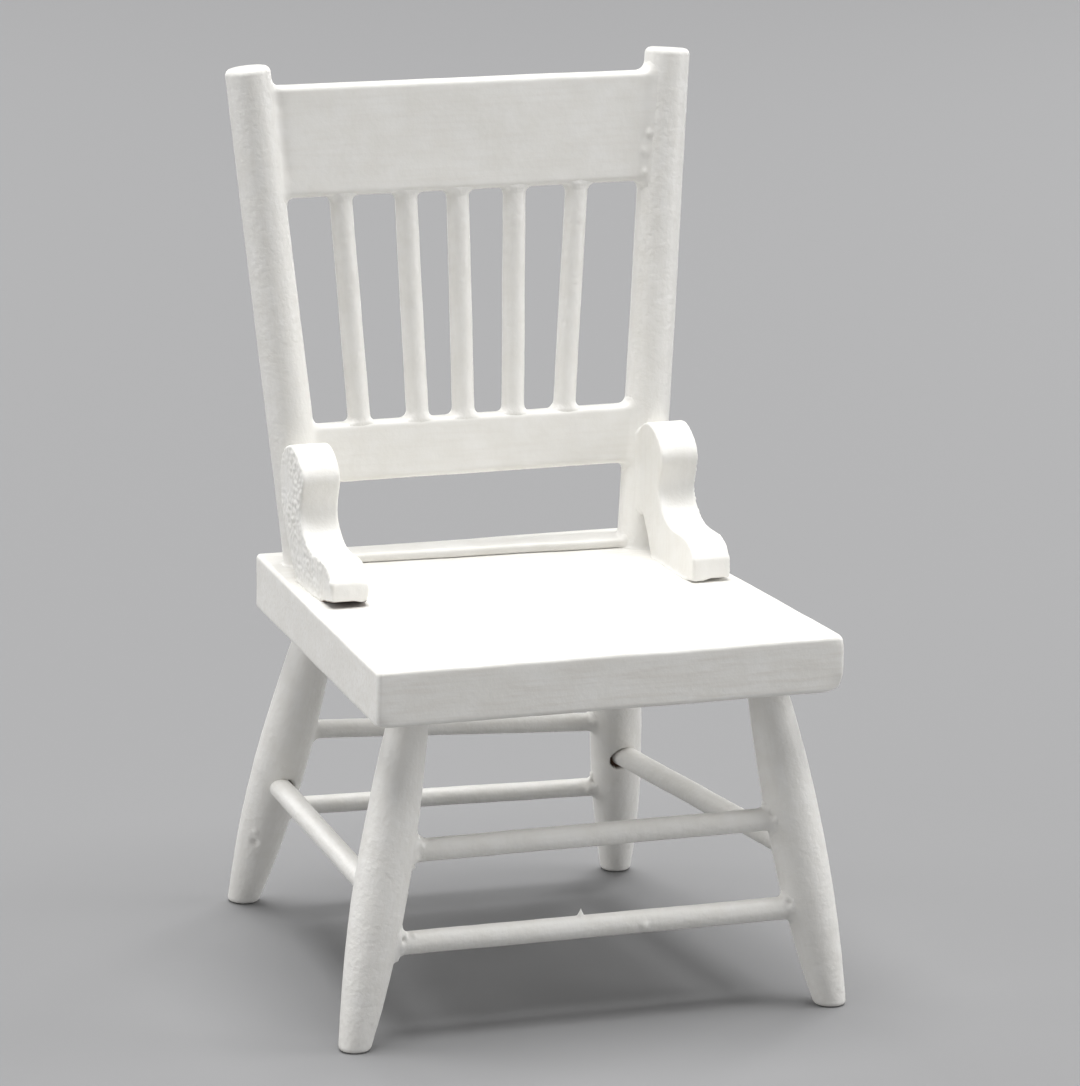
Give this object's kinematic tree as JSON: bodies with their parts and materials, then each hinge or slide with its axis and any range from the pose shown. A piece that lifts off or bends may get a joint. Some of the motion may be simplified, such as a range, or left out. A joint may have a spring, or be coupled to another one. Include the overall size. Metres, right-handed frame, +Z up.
{
  "type": "dolls house side chair",
  "caption": "White painted miniature side chair with a plank seat, splayed turned legs, round stretchers, leaning posts, a flat crest rail over spindles and scrolled hip brackets.",
  "frame": {"origin": "on the floor under the middle of the chair's footprint", "axes": "+Z up, -Y the way the sitter faces, +X to the right when the chair is seen from the front"},
  "size_m": [0.0471, 0.0491, 0.0799],
  "materials": {
    "painted_board": "satin white paint over sawn board",
    "painted_turning": "satin white paint over turned dowel",
    "painted_sawn_edge": "satin white paint over rough sawn end grain"
  },
  "bodies": {
    "root": {"bracket_left": "painted_sawn_edge", "bracket_right": "painted_sawn_edge", "crest_rail": "painted_board", "leg_front_left": "painted_turning", "leg_front_right": "painted_turning", "leg_rear_left": "painted_turning", "leg_rear_right": "painted_turning", "lower_back_rail": "painted_board", "post_left": "painted_turning", "post_right": "painted_turning", "seat": "painted_board", "seat_back_rail": "painted_board", "spindle_1": "painted_turning", "spindle_2": "painted_turning", "spindle_3": "painted_turning", "spindle_4": "painted_turning", "spindle_5": "painted_turning", "stretcher_front_lower": "painted_turning", "stretcher_front_upper": "painted_turning", "stretcher_rear_lower": "painted_turning", "stretcher_rear_upper": "painted_turning", "stretcher_side_left": "painted_turning", "stretcher_side_right": "painted_turning"}
  },
  "joints": []
}
